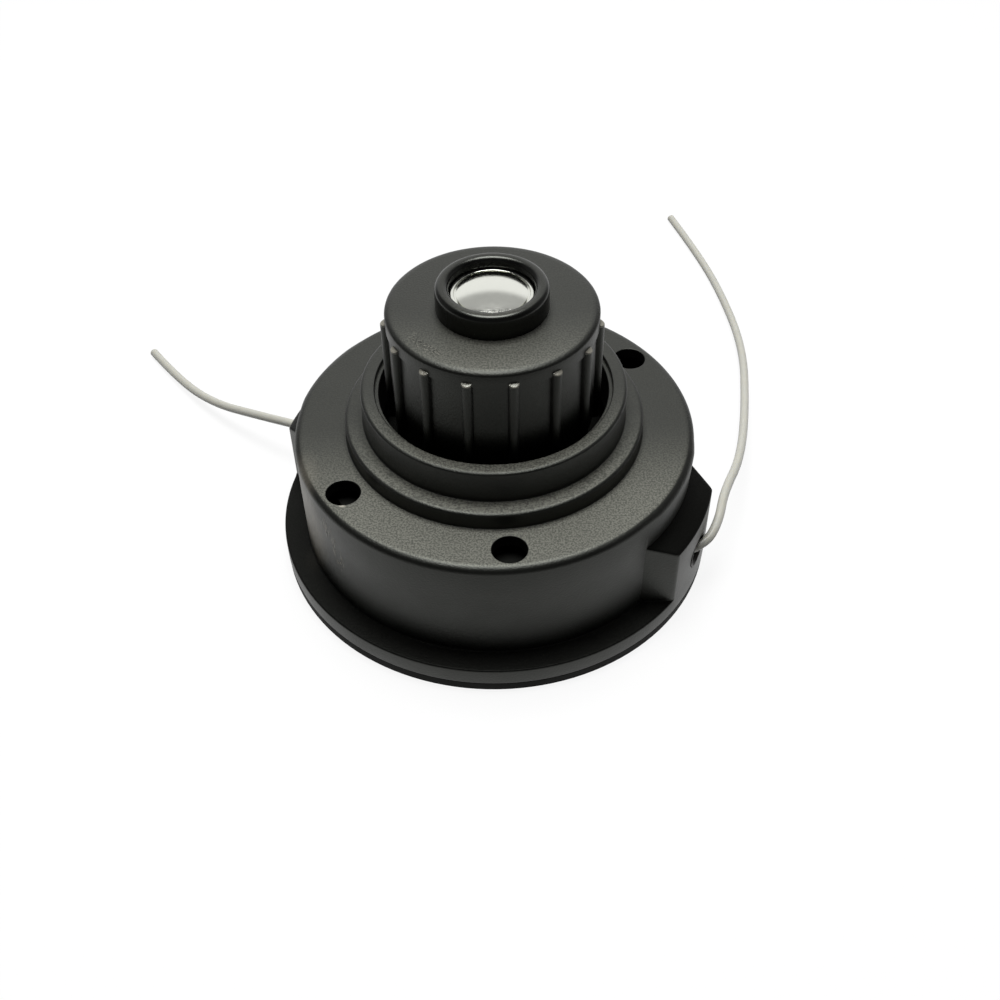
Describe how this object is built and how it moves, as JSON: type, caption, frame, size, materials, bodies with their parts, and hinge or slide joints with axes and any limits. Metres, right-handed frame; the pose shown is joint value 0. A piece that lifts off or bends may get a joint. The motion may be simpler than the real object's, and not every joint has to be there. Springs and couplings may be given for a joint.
{
  "type": "trimmer head",
  "caption": "Tap-feed line trimmer head: stepped black drum on a flange with side line outlets, a ribbed tap knob with a polished domed cap, and free nylon line ends.",
  "frame": {"origin": "centre of the base ring, on the surface that the head stands on", "axes": "+Z along the spindle towards the tap knob, +X to the right and +Y away from the viewer in the picture"},
  "size_m": [0.1857, 0.203, 0.0782],
  "materials": {
    "black_nylon": "satin with a fine spark-eroded grain",
    "smooth_black_nylon": "smooth",
    "polished_steel": "polished",
    "plain_steel": "plain turned or pressed",
    "line_nylon": "translucent monofilament"
  },
  "bodies": {
    "housing": {"drum_housing": "black_nylon", "back_cover": "black_nylon", "cover_screws": "plain_steel", "drive_nut": "plain_steel", "guide_post": "plain_steel", "post_clip": "plain_steel", "spring_seat": "plain_steel", "feed_spring": "plain_steel", "eyelet_right": "plain_steel", "eyelet_left": "plain_steel", "line_right": "line_nylon", "line_left": "line_nylon"},
    "follower": {"thrust_washer": "plain_steel"},
    "reel": {"spool": "black_nylon", "line_winding_lower": "line_nylon", "line_winding_upper": "line_nylon", "bump_knob": "black_nylon", "knob_stud": "plain_steel", "knob_collar": "smooth_black_nylon", "dome_cap": "polished_steel"}
  },
  "joints": [
    {"name": "tap", "type": "slide", "parent": "housing", "child": "follower", "axis": [0, 0, 1], "range_m": [-0.006, 0], "stiffness_N_per_m": 1500, "springref_m": 0.01, "deforming": ["feed_spring"]},
    {"name": "spool_turn", "type": "hinge", "parent": "follower", "child": "reel", "pos_m": [0, 0, 0.03], "axis": [0, 0, 1], "continuous": true}
  ]
}
